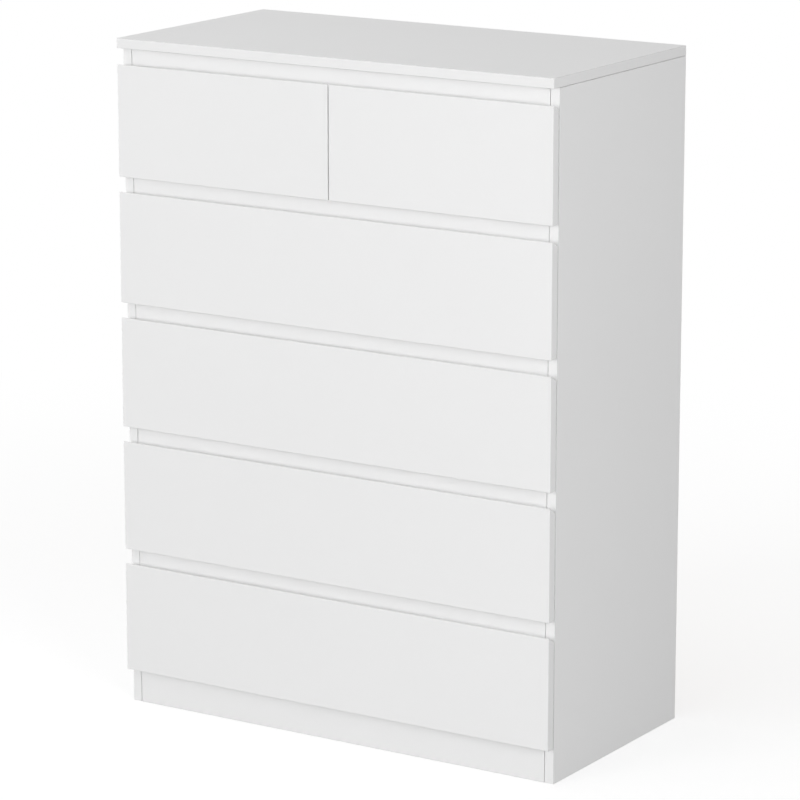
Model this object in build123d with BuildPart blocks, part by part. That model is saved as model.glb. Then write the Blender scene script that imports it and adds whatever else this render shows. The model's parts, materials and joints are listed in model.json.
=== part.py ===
from build123d import *
from collections import namedtuple
from math import ceil
import os

# Tall chest of drawers, in millimetres: +X to the right, the front towards -Y, +Z up from the floor

# Outside sizes
cabinet_width = 800  # top panel, end to end
cabinet_depth = 410  # top panel, front edge to rear edge
row_count = 5  # rows of drawers, counted from the top
front_height = 180  # each drawer front
grip_gap = 25  # open strip between two rows of fronts
top_gap = 26  # open strip between the top panel and the first row
base_height = 58  # floor to the lowest front

# Carcass boards
board = 16  # panels and rails
edge_radius = 0.8  # rounding of the banded edges
top_seam = 0.4  # seam between the top panel and a side panel
joint_gap = 0.7  # seam at each end of a rail and of the bottom panel
rail_lap = 10  # part of a rail that hides behind the front above it, or below it
back_board = 3  # hardboard back
back_inset = 2  # rear edges of the top and side panels past the back board
back_slack = 0.5  # back board short of the end of its rebates
rebate_margin = 6  # side panel left beside the rebate that takes the back board
fold_width = 1.5  # scored fold down the middle of the back board
fold_depth = 2

# Drawer fronts
front_board = 16
front_clear = 1.5  # front to the carcass behind it
front_reveal = 0.5  # end of a front to the outer face of a side panel
middle_gap = 2  # between the two small fronts of the first row
bevel_land = 2  # flat strip along the top of a front
bevel_drop = 9  # fall of the grip bevel, from the flat strip to the rear face

# Drawer boxes
box_board = 12  # sides and back
box_lift = 18  # box above the lower edge of its front
box_headroom = 42  # box below the upper edge of its front
box_rear_gap = 39  # box to the back board
bottom_sheet = 3  # hardboard bottom
bottom_lift = 16  # bottom above the lower edge of the box
groove_depth = 6  # grooves that hold the bottom
sheet_slack = 0.5  # bottom short of the end of its grooves

# Runners
runner_clear = 12.5  # box side to the wall beside it
runner_play = 1.3  # fixed channel to the running member
runner_steel = 1.2
runner_height = 22  # fixed channel
runner_drop = 3  # fixed channel below the box
runner_setback = 2  # front end of a runner behind the face it starts from
runner_hold = 90  # running member left over the box travel when the drawer is out
runner_web = 16  # running member up the side of the box
runner_foot = 10  # running member under the box
slide_reach = 4.5  # wall to the sliding flange
glide_height = 8.5
glide_length = 25
glide_margin = 0.5  # glide short of the edge of the channel
glide_round = 2  # ends of the glide's upper face
running_gap = 0.3  # between faces that slide on each other
stop_gap = 0.5  # stop tab to the glide when the drawer is out
tab_length = 10

# Cam fittings and dowels
slip = 0.1  # gap round a pin in its hole, and on each face of a sheet in its groove
end_gap = 0.5  # hole deeper than the pin in it
fitting_inset = 60  # fitting to the front or rear edge of a panel
dowel_spacing = 32  # dowel beside a fitting of a panel
rail_cam_drop = 7  # cam below the middle of a rail
rail_dowel_rise = 9  # dowel above the middle of a rail
box_fitting_low = 40  # lower fitting of a drawer box above its lower edge
box_fitting_high = 25  # upper fitting of a drawer box below its upper edge
cam_radius = 7.5
cam_floor = 3  # board left under a cam
cam_setback = 24  # joint to the middle of the cam
cam_slot_length = 10
cam_slot_width = 2
cam_slot_depth = 1.5
bolt_radius = 3.5
thread_radius = 2.5
thread_depth = 11
dowel_radius = 4
dowel_seat = 10  # dowel in the board that is met
dowel_reach = 20  # dowel in the board that meets it
dowel_chamfer = 1

# Screws and nails
screw_radius = 1.75
screw_length = 8.5
screw_head_radius = 3
screw_head = 1.6
screw_head_round = 0.6  # rim of a screw head
drive_length = 3.6  # cross recess in a screw head, tip to tip
drive_width = 0.9
drive_depth = 1
runner_screw_level = 15  # above the lower edge of the fixed channel
runner_screw_inset = 40  # from each end of a runner
box_screw_radius = 2
box_screw_grip = 20  # in the end of the box back
box_screw_head_radius = 3.5
box_screw_head = 3
bottom_screw_inset = 40  # outer screws of a drawer bottom to the box side
nail_radius = 0.9
nail_length = 15
nail_head_radius = 2.5
nail_head = 1
nail_pitch = 160  # largest distance between nails
nail_margin = 30  # highest nail below the top panel
nail_end = 60  # outer nail of a rail or panel to the wall

# Wall brackets
bracket_steel = 2
bracket_width = 40
bracket_leg = 35  # against the back board
bracket_foot = 30  # under the top panel
bracket_inset = 84  # middle of a bracket to the wall
bracket_screw_offset = 10  # screws to the middle of a bracket
wall_hole_radius = 3
wall_hole_drop = 20  # wall hole below the top panel

# Faces and levels that follow
row_pitch = front_height + grip_gap
under_top = base_height + row_count * row_pitch - grip_gap + top_gap
cabinet_height = under_top + board
half_width = cabinet_width / 2
wall = half_width - board
partition_face = board / 2
front_face = -cabinet_depth / 2
front_rear = front_face + front_board
carcass_front = front_rear + front_clear
carcass_rear = cabinet_depth / 2
back_face = carcass_rear - back_inset - back_board
rebate_end = half_width - rebate_margin
side_top = under_top - top_seam
rail_height = grip_gap + 2 * rail_lap
rail_rear = carcass_front + board
rail_middle = carcass_front + board / 2
rear_rail_middle = back_face - board / 2
top_rail_bottom = under_top - rail_height
plinth_height = base_height + rail_lap
bottom_middle = plinth_height - board / 2
front_end = half_width - front_reveal
box_rear = back_face - box_rear_gap
box_height = front_height - box_lift - box_headroom
runner_front = carcass_front + runner_setback
runner_flange = runner_clear - runner_steel - runner_play
glide_rear = runner_front + glide_length
slide_level = runner_steel + glide_height + running_gap
drawer_travel = box_rear - front_rear - runner_hold
tab_front = glide_rear + stop_gap + drawer_travel

ABOVE = (Align.CENTER, Align.CENTER, Align.MIN)
BELOW = (Align.CENTER, Align.CENTER, Align.MAX)
LEFT = -1
RIGHT = 1

# A bay is the room of one drawer: its two walls, and the ends of the front that covers it
Bay = namedtuple("Bay", "name row left right front_left front_right")
bays = [
    Bay("drawer_1_left", 1, -wall, -partition_face, -front_end, -middle_gap / 2),
    Bay("drawer_1_right", 1, partition_face, wall, middle_gap / 2, front_end),
]
for row in range(2, row_count + 1):
    bays.append(Bay(f"drawer_{row}", row, -wall, wall, -front_end, front_end))

# A rail runs from wall to wall: its middle in Y and Z, its height, and the way its cams face
Rail = namedtuple("Rail", "name y z height facing")


def front_bottom(row):
    """Lower edge of the fronts in a row."""
    return base_height + (row_count - row) * row_pitch


def box_bottom(row):
    """Lower edge of the drawer boxes in a row."""
    return front_bottom(row) + box_lift


rails = [Rail("top_rail", rail_middle, under_top - rail_height / 2, rail_height, 1)]
for row in range(1, row_count):
    rails.append(Rail(f"cross_rail_{row}", rail_middle, front_bottom(row) - grip_gap / 2, rail_height, 1))
first_rail = rails[1]
first_rail_top = first_rail.z + rail_height / 2
rails.append(Rail("rear_rail", rear_rail_middle, first_rail.z, rail_height, -1))
rails.append(Rail("plinth", rail_middle, plinth_height / 2, plinth_height, 1))


def block(low, high, mode=Mode.ADD):
    """A block between two opposite corners."""
    low, high = Vector(low), Vector(high)
    with Locations((low + high) / 2):
        Box(*(high - low), mode=mode)


def rounded_board(low, high):
    """A board between two opposite corners, with rounded edges."""
    block(low, high)
    fillet(edges(), edge_radius)


def drill(planes, radius, depth):
    """Blind holes from each plane, along its Z, or against it where the depth is negative."""
    with Locations(*planes):
        Cylinder(radius + slip, abs(depth), align=ABOVE if depth > 0 else BELOW, mode=Mode.SUBTRACT)


def spread(low, high, pitch):
    """Even places from low to high, no further apart than the pitch."""
    steps = ceil((high - low) / pitch)
    return [low + (high - low) * step / steps for step in range(steps + 1)]


def write(builder, label):
    """Names a finished piece and writes it."""
    builder.part.label = label
    export_step(builder.part, f"parts/{label}.step")


# A joint is a plane on the face where two boards meet: its Z points into the board that carries the cam
# or the longer end of the dowel, and its X points to the cam's open face


def wall_joints(y, z, facing):
    """Joints at the two walls, for a board that runs between them."""
    return [
        Plane((side * wall, y, z), x_dir=facing, z_dir=(-side, 0, 0)) for side in (LEFT, RIGHT)
    ]


def on_side(planes, side):
    """The planes on one side of the chest."""
    return [plane for plane in planes if plane.origin.X * side > 0]


def cam_seat(joint, thickness):
    """Plane on the open face of a cam: its Z out of the board, its X along the bolt."""
    origin = joint.origin + joint.z_dir * cam_setback + joint.x_dir * (thickness / 2)
    return Plane(origin, x_dir=joint.z_dir, z_dir=joint.x_dir)


def cam_holes(joints, thickness):
    """Bolt bores and cam pockets in a board."""
    drill(joints, bolt_radius, cam_setback)
    drill([cam_seat(joint, thickness) for joint in joints], cam_radius, cam_floor - thickness)


def rail_cams(rail):
    """Cam joints at the two ends of a rail."""
    return wall_joints(rail.y, rail.z - rail_cam_drop, (0, rail.facing, 0))


def rail_dowels(rail):
    """Dowel joints at the two ends of a rail."""
    return wall_joints(rail.y, rail.z + rail_dowel_rise, (0, rail.facing, 0))


def bay_walls(bay):
    """The two walls of a bay, each with the direction from the wall to the drawer."""
    return (bay.left, RIGHT), (bay.right, LEFT)


def runner_bottom(row):
    """Lower edge of the fixed channels in a row."""
    return box_bottom(row) - runner_drop


def section_plane(x, direction, y, z):
    """Plane across the chest: local X points left or right, local Y points up."""
    return Plane((x, y, z), x_dir=(direction, 0, 0), z_dir=(0, -direction, 0))


def runner_screws(face, direction):
    """Screws of the fixed channels on one face of a side panel or of the partition."""
    return [
        Plane(
            (face + direction * runner_steel, y, runner_bottom(bay.row) + runner_screw_level),
            z_dir=(-direction, 0, 0),
        )
        for bay in bays
        if (face, direction) in bay_walls(bay)
        for y in (runner_front + runner_screw_inset, box_rear - runner_screw_inset)
    ]


# Where the carcass is joined
side_middle = wall + board / 2
top_cams = [
    Plane((side * side_middle, y, under_top), x_dir=(-side, 0, 0), z_dir=(0, 0, -1))
    for side in (LEFT, RIGHT)
    for y in (carcass_front + fitting_inset, back_face - fitting_inset)
]
top_dowels = [
    Plane((side * side_middle, y, under_top), z_dir=(0, 0, -1))
    for side in (LEFT, RIGHT)
    for y in (
        carcass_front + fitting_inset + dowel_spacing,
        back_face - fitting_inset - dowel_spacing,
    )
]
bottom_cams = []
bottom_dowels = []
for y in (rail_rear + fitting_inset, back_face - fitting_inset):
    bottom_cams += wall_joints(y, bottom_middle, (0, 0, -1))
for y in (
    rail_rear + fitting_inset + dowel_spacing,
    back_face - fitting_inset - dowel_spacing,
):
    bottom_dowels += wall_joints(y, bottom_middle, (0, 0, -1))
partition_top_dowels = [
    Plane((0, y, under_top), z_dir=(0, 0, -1))
    for y in (rail_rear + fitting_inset, back_face - fitting_inset)
]
partition_foot_dowels = [
    Plane((0, y, first_rail_top), z_dir=(0, 0, 1)) for y in (rail_middle, rear_rail_middle)
]
wall_cams = sum((rail_cams(rail) for rail in rails), []) + bottom_cams
wall_dowels = sum((rail_dowels(rail) for rail in rails), []) + bottom_dowels
partition_screws = runner_screws(partition_face, RIGHT) + runner_screws(-partition_face, LEFT)
channel_screws = runner_screws(-wall, RIGHT) + runner_screws(wall, LEFT) + partition_screws

# Where the back is nailed and the wall brackets are fixed
nail_columns = spread(nail_end - wall, wall - nail_end, nail_pitch)
nail_places = [
    (side * (wall + rebate_end) / 2, z)
    for side in (LEFT, RIGHT)
    for z in spread(bottom_middle, under_top - nail_margin, nail_pitch)
]
for level in (bottom_middle, first_rail.z):
    nail_places += [(x, level) for x in nail_columns]
nail_planes = [Plane((x, back_face + back_board, z), z_dir=(0, -1, 0)) for x, z in nail_places]
bracket_middles = [side * (wall - bracket_inset) for side in (LEFT, RIGHT)]
bracket_screws = [
    Plane((x + offset, back_face - bracket_foot / 2, under_top - bracket_steel), z_dir=(0, 0, 1))
    for x in bracket_middles
    for offset in (-bracket_screw_offset, bracket_screw_offset)
]
wall_holes = [
    Plane((x, back_face - bracket_steel, under_top - wall_hole_drop), z_dir=(0, 1, 0))
    for x in bracket_middles
]

os.makedirs("parts", exist_ok=True)

# Top panel
with BuildPart() as top_panel:
    rounded_board(
        (-half_width, front_face, under_top),
        (half_width, carcass_rear, cabinet_height),
    )
    drill(top_cams, thread_radius, -thread_depth - end_gap)
    drill(top_dowels + partition_top_dowels, dowel_radius, -dowel_seat - end_gap)
    drill(bracket_screws, screw_radius, screw_length + end_gap)
write(top_panel, "top_panel")

# Side panels, with a rebate down the rear edge for the back board
for side, label in ((LEFT, "side_panel_left"), (RIGHT, "side_panel_right")):
    inner, outer = sorted((side * wall, side * half_width))
    with BuildPart() as side_panel:
        rounded_board((inner, carcass_front, 0), (outer, carcass_rear, side_top))
        near, far = sorted((side * wall, side * rebate_end))
        block((near, back_face, 0), (far, carcass_rear, side_top), mode=Mode.SUBTRACT)
        cam_holes(on_side(top_cams, side), board)
        drill(on_side(top_dowels, side), dowel_radius, dowel_reach + end_gap)
        drill(on_side(wall_cams, side), thread_radius, -thread_depth - end_gap)
        drill(on_side(wall_dowels, side), dowel_radius, -dowel_seat - end_gap)
        drill(runner_screws(side * wall, -side), screw_radius, screw_length + end_gap)
        drill(on_side(nail_planes, side), nail_radius, nail_length + end_gap)
    write(side_panel, label)

# Rails, with the plinth and the rear rail
for rail in rails:
    with BuildPart() as rail_board:
        rounded_board(
            (joint_gap - wall, rail.y - board / 2, rail.z - rail.height / 2),
            (wall - joint_gap, rail.y + board / 2, rail.z + rail.height / 2),
        )
        cam_holes(rail_cams(rail), board)
        drill(rail_dowels(rail), dowel_radius, dowel_reach + end_gap)
        drill(partition_foot_dowels, dowel_radius, -dowel_seat - end_gap)
        drill(nail_planes, nail_radius, nail_length + end_gap)
    write(rail_board, rail.name)

# Bottom panel, level with the upper edge of the plinth
with BuildPart() as bottom_panel:
    rounded_board(
        (joint_gap - wall, rail_rear, plinth_height - board),
        (wall - joint_gap, back_face, plinth_height),
    )
    cam_holes(bottom_cams, board)
    drill(bottom_dowels, dowel_radius, dowel_reach + end_gap)
    drill(nail_planes, nail_radius, nail_length + end_gap)
write(bottom_panel, "bottom_panel")

# Partition between the two small drawers, notched round the top rail
with BuildPart() as centre_partition:
    with BuildSketch(Plane.YZ.offset(-partition_face)):
        with BuildLine():
            Polyline(
                (carcass_front, first_rail_top),
                (back_face, first_rail_top),
                (back_face, under_top),
                (rail_rear, under_top),
                (rail_rear, top_rail_bottom),
                (carcass_front, top_rail_bottom),
                close=True,
            )
        make_face()
    extrude(amount=board)
    drill(partition_top_dowels + partition_foot_dowels, dowel_radius, dowel_reach + end_gap)
    drill(partition_screws, screw_radius, screw_length + end_gap)
write(centre_partition, "centre_partition")

# Hardboard back, scored down the middle so that it folds
with BuildPart() as back_panel:
    block(
        (back_slack - rebate_end, back_face, plinth_height - board),
        (rebate_end - back_slack, back_face + back_board, under_top),
    )
    block(
        (-fold_width / 2, back_face + back_board - fold_depth, plinth_height - board),
        (fold_width / 2, back_face + back_board, under_top),
        mode=Mode.SUBTRACT,
    )
    drill(nail_planes, nail_radius, back_board)
    drill(wall_holes, wall_hole_radius - slip, bracket_steel + back_board)
write(back_panel, "back_panel")

# Fixed channels of the runners, open towards the drawers
with BuildPart() as cabinet_runners:
    for bay in bays:
        for face, direction in bay_walls(bay):
            with BuildSketch(section_plane(face, direction, runner_front, runner_bottom(bay.row))):
                with BuildLine():
                    Polyline(
                        (0, 0),
                        (runner_flange, 0),
                        (runner_flange, runner_steel),
                        (runner_steel, runner_steel),
                        (runner_steel, runner_height - runner_steel),
                        (runner_flange, runner_height - runner_steel),
                        (runner_flange, runner_height),
                        (0, runner_height),
                        close=True,
                    )
                make_face()
            extrude(amount=direction * (runner_front - box_rear))
    drill(channel_screws, screw_radius, runner_steel)
write(cabinet_runners, "cabinet_runners")

# Nylon glides in the front ends of the channels
with BuildPart() as cabinet_glides:
    for bay in bays:
        for face, direction in bay_walls(bay):
            foot = runner_bottom(bay.row) + runner_steel
            near, far = sorted(
                (face + direction * runner_steel, face + direction * (runner_flange - glide_margin))
            )
            block((near, runner_front, foot), (far, glide_rear, foot + glide_height))
    fillet(edges().filter_by(Axis.X).group_by(Axis.Y)[0].group_by(Axis.Z)[-1], glide_round)
write(cabinet_glides, "cabinet_glides")

# One of each fastener, standing on its plane with its Z into the board
with BuildPart() as cam_bolt:
    Cylinder(thread_radius, thread_depth, align=BELOW)
    Cylinder(bolt_radius, cam_setback - end_gap, align=ABOVE)

with BuildPart() as dowel:
    with Locations((0, 0, -dowel_seat)):
        Cylinder(dowel_radius, dowel_seat + dowel_reach, align=ABOVE)
    chamfer(edges().filter_by(GeomType.CIRCLE), dowel_chamfer)

with BuildPart() as screw:
    Cylinder(screw_head_radius, screw_head, align=BELOW)
    fillet(edges().group_by(Axis.Z)[0], screw_head_round)
    Cylinder(screw_radius, screw_length, align=ABOVE)
    with Locations((0, 0, -screw_head)):
        Box(drive_length, drive_width, drive_depth, align=ABOVE, mode=Mode.SUBTRACT)
        Box(drive_width, drive_length, drive_depth, align=ABOVE, mode=Mode.SUBTRACT)

with BuildPart() as box_screw:
    Cylinder(box_screw_head_radius, box_screw_head, align=ABOVE)
    Cylinder(box_screw_radius, box_board + box_screw_grip, align=ABOVE)
    Box(drive_length, drive_width, drive_depth, align=ABOVE, mode=Mode.SUBTRACT)
    Box(drive_width, drive_length, drive_depth, align=ABOVE, mode=Mode.SUBTRACT)

with BuildPart() as nail:
    Cylinder(nail_head_radius, nail_head, align=BELOW)
    Cylinder(nail_radius, nail_length, align=ABOVE)


def make_cam(thickness):
    """A cam lock for a board, its open face at the origin and its bolt along +X."""
    with BuildPart() as cam:
        Cylinder(cam_radius, thickness - cam_floor, align=BELOW)
        Box(cam_slot_length, cam_slot_width, cam_slot_depth, align=BELOW, mode=Mode.SUBTRACT)
        with Locations(Location((0, 0, -thickness / 2), (0, -90, 0))):
            Cylinder(bolt_radius + slip, cam_radius, align=ABOVE, mode=Mode.SUBTRACT)
    return cam.part


def place(piece, planes):
    """Copies of a fastener, one on each plane."""
    with Locations(*planes):
        add(piece)


def place_cams(joints, thickness):
    """Cams and their bolts at each joint."""
    place(make_cam(thickness), [cam_seat(joint, thickness) for joint in joints])
    place(cam_bolt.part, joints)


# Steel fasteners of the carcass: cams with their bolts, screws and nails
with BuildPart() as cabinet_fittings:
    place_cams(wall_cams + top_cams, board)
    place(screw.part, channel_screws + bracket_screws)
    place(nail.part, nail_planes)
write(cabinet_fittings, "cabinet_fittings")

with BuildPart() as dowels:
    place(dowel.part, wall_dowels + top_dowels + partition_top_dowels + partition_foot_dowels)
write(dowels, "dowels")

# Angle brackets that hold the chest to a wall, under the top panel and against the back
with BuildPart() as wall_brackets:
    for x in bracket_middles:
        with BuildSketch(Plane.YZ.offset(x - bracket_width / 2)):
            with BuildLine():
                Polyline(
                    (back_face, under_top),
                    (back_face, under_top - bracket_leg),
                    (back_face - bracket_steel, under_top - bracket_leg),
                    (back_face - bracket_steel, under_top - bracket_steel),
                    (back_face - bracket_foot, under_top - bracket_steel),
                    (back_face - bracket_foot, under_top),
                    close=True,
                )
            make_face()
        extrude(amount=bracket_width)
    drill(bracket_screws, screw_radius, bracket_steel)
    drill(wall_holes, wall_hole_radius - slip, bracket_steel)
write(wall_brackets, "wall_brackets")


def make_drawer(bay):
    """All pieces of one drawer, shut."""
    front_low = front_bottom(bay.row)
    front_top = front_low + front_height
    low = box_bottom(bay.row)
    top = low + box_height
    sheet_low = low + bottom_lift
    sheet_top = sheet_low + bottom_sheet
    box_left = bay.left + runner_clear
    box_right = bay.right - runner_clear
    inner_left = box_left + box_board
    inner_right = box_right - box_board
    back_middle = box_rear - box_board / 2

    fitting_levels = (low + box_fitting_low, top - box_fitting_high)
    box_sides = ((box_left, RIGHT), (box_right, LEFT))
    front_cams = [
        Plane(
            (outer + inward * box_board / 2, front_rear, z),
            x_dir=(inward, 0, 0),
            z_dir=(0, 1, 0),
        )
        for outer, inward in box_sides
        for z in fitting_levels
    ]
    back_screws = [
        Plane((outer, back_middle, z), z_dir=(inward, 0, 0))
        for outer, inward in box_sides
        for z in fitting_levels
    ]
    member_screws = [
        Plane(
            (outer - inward * runner_steel, y, low - runner_drop + runner_screw_level),
            z_dir=(inward, 0, 0),
        )
        for outer, inward in box_sides
        for y in (front_rear + runner_screw_inset, box_rear - runner_screw_inset)
    ]
    bottom_screws = [
        Plane((x, back_middle, sheet_low), z_dir=(0, 0, 1))
        for x in (
            inner_left + bottom_screw_inset,
            (inner_left + inner_right) / 2,
            inner_right - bottom_screw_inset,
        )
    ]

    # The groove runs round the front and the two sides
    groove = (
        (inner_left - groove_depth, front_rear - groove_depth, sheet_low - slip),
        (inner_right + groove_depth, box_rear, sheet_top + slip),
    )

    with BuildPart() as front:
        with BuildSketch(Plane.YZ.offset(bay.front_left)):
            with BuildLine():
                Polyline(
                    (front_face, front_low),
                    (front_rear, front_low),
                    (front_rear, front_top - bevel_drop),
                    (front_face + bevel_land, front_top),
                    (front_face, front_top),
                    close=True,
                )
            make_face()
        extrude(amount=bay.front_right - bay.front_left)
        fillet(edges(), edge_radius)
        block(*groove, mode=Mode.SUBTRACT)
        drill(front_cams, thread_radius, -thread_depth - end_gap)
    write(front, f"{bay.name}_front")

    for (outer, inward), label in zip(box_sides, ("side_left", "side_right")):
        near, far = sorted((outer, outer + inward * box_board))
        with BuildPart() as box_side:
            rounded_board((near, front_rear, low), (far, box_rear, top))
            block(*groove, mode=Mode.SUBTRACT)
            cam_holes(front_cams, box_board)
            drill(back_screws, box_screw_head_radius, box_screw_head)
            drill(back_screws, box_screw_radius, box_board)
            drill(member_screws, screw_radius, screw_length + end_gap)
        write(box_side, f"{bay.name}_{label}")

    with BuildPart() as box_back:
        rounded_board(
            (inner_left, box_rear - box_board, sheet_top),
            (inner_right, box_rear, top),
        )
        drill(back_screws, box_screw_radius, box_board + box_screw_grip + end_gap)
        drill(bottom_screws, screw_radius, screw_length + end_gap)
    write(box_back, f"{bay.name}_back")

    with BuildPart() as box_bottom_sheet:
        block(
            (
                inner_left - groove_depth + sheet_slack,
                front_rear - groove_depth + sheet_slack,
                sheet_low,
            ),
            (inner_right + groove_depth - sheet_slack, box_rear, sheet_top),
        )
        drill(bottom_screws, screw_radius, bottom_sheet)
    write(box_bottom_sheet, f"{bay.name}_bottom")

    # Running members: an angle under the box side, a flange that rides on the glide, and a stop tab
    slide = slide_level - runner_drop
    slide_tip = runner_clear - slide_reach
    tab_low = runner_steel + running_gap - runner_drop
    tab_high = runner_height - runner_steel - running_gap - runner_drop
    member_front = front_rear + runner_setback
    with BuildPart() as runners:
        for outer, inward in box_sides:
            with BuildSketch(section_plane(outer, -inward, member_front, low)):
                with BuildLine():
                    Polyline(
                        (-runner_foot, -runner_steel),
                        (runner_steel, -runner_steel),
                        (runner_steel, slide),
                        (slide_tip, slide),
                        (slide_tip, slide + runner_steel),
                        (runner_steel, slide + runner_steel),
                        (runner_steel, runner_web),
                        (0, runner_web),
                        (0, 0),
                        (-runner_foot, 0),
                        close=True,
                    )
                make_face()
            extrude(amount=inward * (box_rear - member_front))
            near, far = sorted(
                (outer - inward * slide_tip, outer - inward * (slide_tip - runner_steel))
            )
            block(
                (near, tab_front, low + tab_low),
                (far, tab_front + tab_length, low + tab_high),
            )
        drill(member_screws, screw_radius, runner_steel)
    write(runners, f"{bay.name}_runners")

    with BuildPart() as fittings:
        place_cams(front_cams, box_board)
        place(box_screw.part, back_screws)
        place(screw.part, member_screws + bottom_screws)
    write(fittings, f"{bay.name}_fittings")


for bay in bays:
    make_drawer(bay)
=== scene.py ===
import json
import math

import bpy
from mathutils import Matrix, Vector


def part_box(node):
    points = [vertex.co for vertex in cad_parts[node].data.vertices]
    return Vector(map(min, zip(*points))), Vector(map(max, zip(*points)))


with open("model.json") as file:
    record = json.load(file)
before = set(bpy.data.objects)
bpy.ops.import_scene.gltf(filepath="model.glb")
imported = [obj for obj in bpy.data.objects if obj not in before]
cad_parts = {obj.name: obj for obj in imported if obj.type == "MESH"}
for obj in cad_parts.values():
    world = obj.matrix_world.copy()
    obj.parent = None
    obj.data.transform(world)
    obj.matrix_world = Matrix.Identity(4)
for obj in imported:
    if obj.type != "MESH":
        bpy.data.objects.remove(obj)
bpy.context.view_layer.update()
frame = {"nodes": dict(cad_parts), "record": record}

# Finishes, studio light and camera for a tall white chest of drawers, in metres:
# +X to the right, the front towards -Y, +Z up from the floor

# Camera, at the photograph's angle
view_azimuth = math.radians(32.4)  # from the front towards the right side
view_pitch = math.radians(13.3)  # below the horizon
view_distance = 6.2
view_target = Vector((0.004, -0.005, 0.523))
lens_mm = 174

# Light
ambient_strength = 0.4
background_white = (1, 1, 1, 1)
softboxes = {
    # name: (place, size, power in watts)
    "front_softbox": (Vector((-2.6, -6.6, 1.7)), 3.0, 190),
    "right_softbox": (Vector((3.5, -2.15, 1.65)), 2.0, 62),
    "left_softbox": (Vector((-4.5, 0.2, 0.8)), 2.0, 28),
    "rear_softbox": (Vector((0, 4.8, 0.5)), 1.6, 50),
    "top_softbox": (Vector((-0.8, -0.4, 3.6)), 2.4, 21),
}
softbox_aim = Vector((0, 0, 0.55))

# Floor
floor_size = 60
floor_tone = 0.45  # as the lamps light it, so that little light comes up from below
floor_grain = 0.01  # how much lighter the grains are
floor_lift = 0.62  # how much whiter the camera sees the floor than the lamps light it
floor_fade_start = 0.9  # distance from the middle of the chest where the floor starts to turn white
floor_fade_end = 2.6

# Tones of the white melamine
# the carcass boards are a lighter copy of the fronts' white: painted light that lifts the shaded rails in
# their recesses
board_tone = 0.89
board_edge_tones = {"X": 0.89, "Y": 0.89, "Z": 0.855}  # edge banding, by the axis of the board's thickness; the darker Z banding is painted shade
arris_shade_tone = 0.74  # painted shade on the rounded arris, where the banding meets the face
front_tone = 0.87


class Finish:
    """A material with a principled shader, and short ways to add nodes to it."""

    def __init__(self, name):
        self.material = bpy.data.materials.new(name)
        self.material.use_nodes = True
        self.tree = self.material.node_tree
        self.shader = self.tree.nodes["Principled BSDF"]
        self.places = self.add("ShaderNodeTexCoord")

    def add(self, kind, inputs=(), **settings):
        """A new node with its settings, and with values or links on its inputs."""
        node = self.tree.nodes.new(kind)
        for name, value in settings.items():
            setattr(node, name, value)
        for name, value in dict(inputs).items():
            self.put(node.inputs[name], value)
        return node

    def put(self, socket, value):
        """Links an output to a socket, or sets the socket's own value."""
        if isinstance(value, bpy.types.NodeSocket):
            self.tree.links.new(value, socket)
        else:
            socket.default_value = value

    def noise(self, grain, detail=2, stretch=(1, 1, 1), distortion=0):
        """Noise from 0 to 1 with a grain in metres, stretched along the axes."""
        where = self.add(
            "ShaderNodeMapping",
            {"Vector": self.places.outputs["Object"], "Scale": [1 / (grain * s) for s in stretch]},
        )
        field = self.add(
            "ShaderNodeTexNoise",
            {"Vector": where.outputs["Vector"], "Scale": 1, "Detail": detail, "Distortion": distortion},
        )
        return field.outputs["Fac"]

    def between(self, value, start, end, low=0, high=1):
        """The value's stretch from start to end, as a smooth change from low to high."""
        node = self.add(
            "ShaderNodeMapRange",
            {"Value": value, "From Min": start, "From Max": end, "To Min": low, "To Max": high},
            interpolation_type="SMOOTHSTEP",
        )
        return node.outputs["Result"]

    def facing(self, axis):
        """The surface direction along one axis, from -1 to 1."""
        split = self.add("ShaderNodeSeparateXYZ", {"Vector": self.places.outputs["Normal"]})
        return split.outputs[axis]

    def size_of(self, value):
        """The value without its sign."""
        return self.add("ShaderNodeMath", {0: value}, operation="ABSOLUTE").outputs["Value"]

    def mix(self, factor, first, second):
        """A colour between two colours."""
        node = self.add("ShaderNodeMix", data_type="RGBA")
        self.put(node.inputs["Factor"], factor)
        colours = [socket for socket in node.inputs if socket.type == "RGBA"]
        self.put(colours[0], first)
        self.put(colours[1], second)
        return next(socket for socket in node.outputs if socket.type == "RGBA")

    def dress(self, **inputs):
        """Sets the shader's inputs, named in lower case."""
        for name, value in inputs.items():
            self.put(self.shader.inputs[name.replace("_", " ").title()], value)

    def bump(self, height, depth, strength=1.0):
        """A surface relief of that depth in metres."""
        relief = self.add("ShaderNodeBump", {"Height": height, "Distance": depth, "Strength": strength})
        self.put(self.shader.inputs["Normal"], relief.outputs["Normal"])


def tone(level, warmth=0.0):
    """A near-neutral colour."""
    return (level, level * (1 - warmth / 2), level * (1 - warmth), 1)


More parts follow.
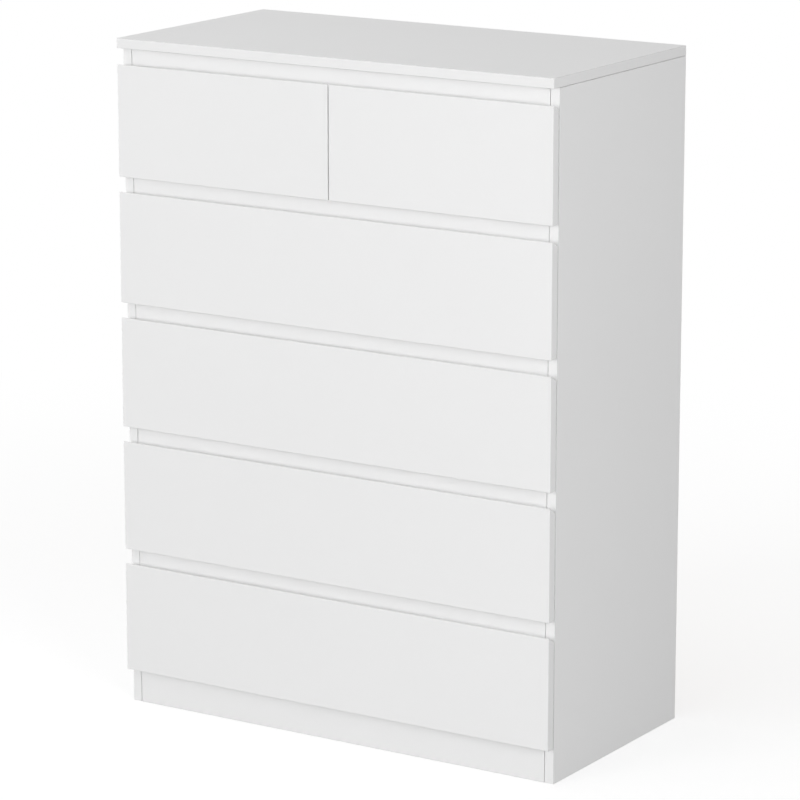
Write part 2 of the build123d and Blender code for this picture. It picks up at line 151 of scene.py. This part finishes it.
def melamine(name, axis, level, edge, arris_shade):
    """Satin white melamine with glossier edge banding, on a board whose thickness runs along the axis."""
    finish = Finish(f"{name}_{axis.lower()}")
    cloud = finish.noise(grain=0.35)
    pearl = finish.noise(grain=0.0016, detail=3)
    # 1 on the faces, 0 on the edges, and between them on a rounded arris
    facing = finish.size_of(finish.facing(axis))
    banding = finish.between(facing, 0.55, 0.95, low=1, high=0)
    arris_middle, arris_reach = 0.6, 0.35
    # the arris mask carries painted shade: a darker tone along each rounded edge
    arris = finish.add(
        "ShaderNodeMath",
        {0: facing, 1: arris_middle, 2: arris_reach},
        operation="COMPARE",
    )
    gloss = finish.between(banding, 0, 1, low=0.6, high=0.5)
    shift = finish.between(pearl, 0.2, 0.8, low=-0.04, high=0.04)
    roughness = finish.add("ShaderNodeMath", {0: gloss, 1: shift}, operation="ADD")
    face = finish.mix(cloud, tone(level - 0.008), tone(level + 0.008))
    board = finish.mix(banding, face, tone(edge))
    # on the arris the colour turns to the darker painted-shade tone
    finish.dress(
        base_color=finish.mix(arris.outputs["Value"], board, tone(arris_shade)),
        roughness=roughness.outputs["Value"],
    )
    finish.put(finish.shader.inputs["Specular IOR Level"], 0.3)
    finish.bump(pearl, depth=0.00003)
    return finish.material


def foil():
    """White foil of the drawer boxes, finely embossed."""
    finish = Finish("white_foil")
    emboss = finish.noise(grain=0.0012)
    cloud = finish.noise(grain=0.25)
    finish.dress(
        base_color=finish.mix(cloud, tone(0.80, 0.012), tone(0.82, 0.02)),
        roughness=finish.between(emboss, 0.2, 0.8, low=0.42, high=0.52),
    )
    finish.bump(emboss, depth=0.00004)
    return finish.material


def hardboard(name, painted_axis, painted_sign):
    """Brown pressed hardboard with one face painted white."""
    finish = Finish(name)
    fibre = finish.noise(grain=0.004, detail=6, distortion=1.5)
    speck = finish.noise(grain=0.0011, detail=3)
    dark_brown = (0.20, 0.115, 0.055, 1)
    light_brown = (0.33, 0.205, 0.105, 1)
    speck_brown = (0.13, 0.07, 0.032, 1)
    raw = finish.mix(finish.between(fibre, 0.3, 0.7), dark_brown, light_brown)
    raw = finish.mix(finish.between(speck, 0.62, 0.75), raw, speck_brown)
    paint = finish.mix(fibre, tone(0.79, 0.012), tone(0.81, 0.02))
    facing = finish.facing(painted_axis)
    painted = finish.between(facing, painted_sign * 0.4, painted_sign * 0.6)
    finish.dress(
        base_color=finish.mix(painted, raw, paint),
        roughness=finish.between(painted, 0, 1, low=0.78, high=0.4),
    )
    finish.bump(fibre, depth=0.0001, strength=0.5)
    return finish.material


def powder_coat():
    """White powder coat on the steel runners."""
    finish = Finish("white_steel")
    grain = finish.noise(grain=0.0009)
    finish.dress(
        base_color=finish.mix(finish.noise(grain=0.05), tone(0.78), tone(0.81, 0.006)),
        roughness=finish.between(grain, 0.2, 0.8, low=0.3, high=0.42),
    )
    finish.bump(grain, depth=0.00003)
    return finish.material


def zinc():
    """Bright zinc plating on the fasteners and brackets."""
    finish = Finish("zinc_steel")
    patch = finish.noise(grain=0.003, detail=4)
    finish.dress(
        base_color=finish.mix(patch, (0.36, 0.375, 0.4, 1), (0.52, 0.53, 0.55, 1)),
        metallic=1,
        roughness=finish.between(patch, 0.25, 0.75, low=0.34, high=0.5),
    )
    finish.bump(finish.noise(grain=0.0006), depth=0.00001)
    return finish.material


def nylon():
    """Natural nylon of the glides."""
    finish = Finish("nylon")
    cloud = finish.noise(grain=0.006, detail=3)
    finish.dress(
        base_color=finish.mix(cloud, (0.74, 0.72, 0.66, 1), (0.8, 0.78, 0.73, 1)),
        roughness=finish.between(cloud, 0.2, 0.8, low=0.35, high=0.5),
        subsurface_weight=0.2,
        subsurface_radius=(0.002, 0.002, 0.0016),
    )
    finish.bump(finish.noise(grain=0.0008), depth=0.00002)
    return finish.material


def beech():
    """Beech dowels, with the grain across the chest."""
    finish = Finish("beech")
    grain = finish.noise(grain=0.0015, detail=5, stretch=(12, 1, 1), distortion=0.4)
    fleck = finish.noise(grain=0.0006, stretch=(5, 1, 1))
    wood = finish.mix(grain, (0.55, 0.36, 0.2, 1), (0.68, 0.48, 0.3, 1))
    finish.dress(
        base_color=finish.mix(finish.between(fleck, 0.6, 0.72), wood, (0.42, 0.25, 0.13, 1)),
        roughness=finish.between(grain, 0.2, 0.8, low=0.5, high=0.65),
    )
    finish.bump(grain, depth=0.00005)
    return finish.material


def dress_nodes():
    """Gives every CAD node its finish."""
    boards = {
        axis: melamine("white_melamine", axis, board_tone, edge_tone, arris_shade_tone)
        for axis, edge_tone in board_edge_tones.items()
    }
    fronts = melamine("front_melamine", "Y", front_tone, front_tone, front_tone)
    finishes = {
        "white_foil": foil(),
        "hardboard": hardboard("hardboard", "Y", -1),
        "white_hardboard": hardboard("white_hardboard", "Z", 1),
        "white_steel": powder_coat(),
        "zinc_steel": zinc(),
        "nylon": nylon(),
        "beech": beech(),
    }
    slots = {part["node"]: part["material_slot"] for part in frame["record"]["subparts"]}
    for name, node in frame["nodes"].items():
        low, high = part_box(name)
        size = high - low
        thin = "XYZ"[min(range(3), key=lambda i: size[i])]
        finish = boards[thin] if slots[name] == "white_melamine" else finishes[slots[name]]
        node.material_slots[0].material = fronts if name.endswith("_front") else finish


def seen_directly(tree):
    """1 for what shows to the camera, in a mirror or through glass, and 0 for light on other surfaces."""
    path = tree.nodes.new("ShaderNodeLightPath")
    total = path.outputs["Is Camera Ray"]
    for name in ("Is Glossy Ray", "Is Transmission Ray"):
        node = tree.nodes.new("ShaderNodeMath")
        node.operation = "MAXIMUM"
        tree.links.new(total, node.inputs[0])
        tree.links.new(path.outputs[name], node.inputs[1])
        total = node.outputs["Value"]
    return total


def make_world():
    """Even studio light from all round, in front of a white background."""
    world = bpy.data.worlds.new("studio")
    world.use_nodes = True
    tree = world.node_tree
    ambient = tree.nodes["Background"]
    ambient.inputs["Color"].default_value = background_white
    ambient.inputs["Strength"].default_value = ambient_strength
    white = tree.nodes.new("ShaderNodeBackground")
    white.inputs["Color"].default_value = background_white
    mix = tree.nodes.new("ShaderNodeMixShader")
    tree.links.new(seen_directly(tree), mix.inputs["Fac"])
    tree.links.new(ambient.outputs["Background"], mix.inputs[1])
    tree.links.new(white.outputs["Background"], mix.inputs[2])
    tree.links.new(mix.outputs["Shader"], tree.nodes["World Output"].inputs["Surface"])
    bpy.context.scene.world = world


def make_softboxes():
    """Large square lamps that face the chest."""
    for name, (place, size, power) in softboxes.items():
        lamp = bpy.data.lights.new(name, "AREA")
        lamp.shape = "SQUARE"
        lamp.size = size
        lamp.energy = power
        softbox = bpy.data.objects.new(name, lamp)
        softbox.location = place
        softbox.rotation_euler = (softbox_aim - place).to_track_quat("-Z", "Y").to_euler()
        bpy.context.scene.collection.objects.link(softbox)


def make_floor():
    """A pale floor that keeps the shadow round the chest and turns to the white background further out."""
    finish = Finish("floor")
    grain = finish.noise(grain=0.02, detail=3)
    finish.dress(
        base_color=finish.mix(grain, tone(floor_tone), tone(floor_tone + floor_grain)),
        roughness=0.9,
    )
    finish.bump(grain, depth=0.0002, strength=0.3)
    tree = finish.tree
    seen = seen_directly(tree)
    lift = finish.add("ShaderNodeMath", {0: seen, 1: floor_lift}, operation="MULTIPLY")
    glow = finish.add("ShaderNodeEmission", {"Color": background_white, "Strength": lift.outputs["Value"]})
    lifted = finish.add(
        "ShaderNodeAddShader",
        {0: finish.shader.outputs["BSDF"], 1: glow.outputs["Emission"]},
    )
    distance = finish.add("ShaderNodeVectorMath", {0: finish.places.outputs["Object"]}, operation="LENGTH")
    fade = finish.between(distance.outputs["Value"], floor_fade_start, floor_fade_end)
    shown = finish.add("ShaderNodeMath", {0: fade, 1: seen}, operation="MULTIPLY")
    white = finish.add("ShaderNodeEmission", {"Color": background_white})
    mix = finish.add(
        "ShaderNodeMixShader",
        {"Fac": shown.outputs["Value"], 1: lifted.outputs["Shader"], 2: white.outputs["Emission"]},
    )
    finish.put(tree.nodes["Material Output"].inputs["Surface"], mix.outputs["Shader"])
    mesh = bpy.data.meshes.new("floor")
    reach = floor_size / 2
    corners = [(-reach, -reach, 0), (reach, -reach, 0), (reach, reach, 0), (-reach, reach, 0)]
    mesh.from_pydata(corners, [], [(0, 1, 2, 3)])
    mesh.materials.append(finish.material)
    floor = bpy.data.objects.new("floor", mesh)
    bpy.context.scene.collection.objects.link(floor)


def make_camera():
    """A camera at the photograph's angle, without roll."""
    back = Vector((
        math.sin(view_azimuth) * math.cos(view_pitch),
        -math.cos(view_azimuth) * math.cos(view_pitch),
        math.sin(view_pitch),
    ))
    data = bpy.data.cameras.new("camera")
    data.lens = lens_mm
    camera = bpy.data.objects.new("camera", data)
    camera.location = view_target + back * view_distance
    camera.rotation_euler = (-back).to_track_quat("-Z", "Y").to_euler()
    bpy.context.scene.collection.objects.link(camera)
    bpy.context.scene.camera = camera


bpy.context.scene.view_settings.view_transform = "Standard"
dress_nodes()
make_world()
make_softboxes()
make_floor()
make_camera()
